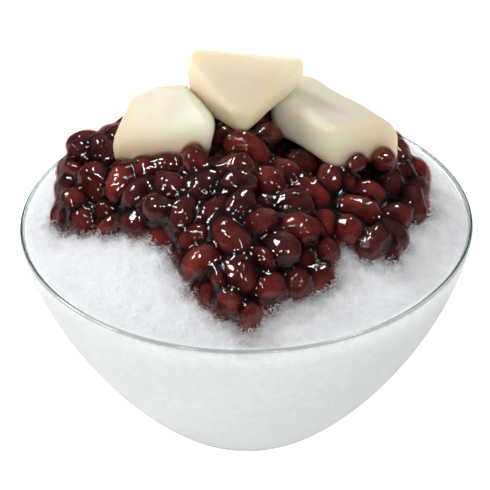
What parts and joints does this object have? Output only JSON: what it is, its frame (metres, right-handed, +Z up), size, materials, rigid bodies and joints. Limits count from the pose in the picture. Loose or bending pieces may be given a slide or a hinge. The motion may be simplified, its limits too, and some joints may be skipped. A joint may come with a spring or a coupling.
{
  "type": "shaved ice dessert in a glass bowl",
  "caption": "Round clear glass bowl filled with a mound of shaved ice, covered by a heap of glossy sweet red beans and topped with soft blocks of rice cake.",
  "frame": {"origin": "centre of the foot, on the plane the bowl stands on", "axes": "+Z up through the bowl, -Y the front, where the long tongue of beans comes down to the rim, +X to the right"},
  "size_m": [0.14, 0.14, 0.125],
  "materials": {
    "clear_glass": "clear, polished, faintly green at the edges",
    "shaved_ice": "white, fluffy and granular, slightly translucent",
    "sweet_red_bean": "dark red-brown beans under a wet glossy syrup",
    "rice_cake": "cream, waxy, smooth and slightly translucent"
  },
  "bodies": {
    "root": {"glass_bowl": "clear_glass", "shaved_ice": "shaved_ice", "bean_heap": "sweet_red_bean", "rice_cake_left": "rice_cake", "rice_cake_middle": "rice_cake", "rice_cake_right": "rice_cake"}
  },
  "joints": []
}
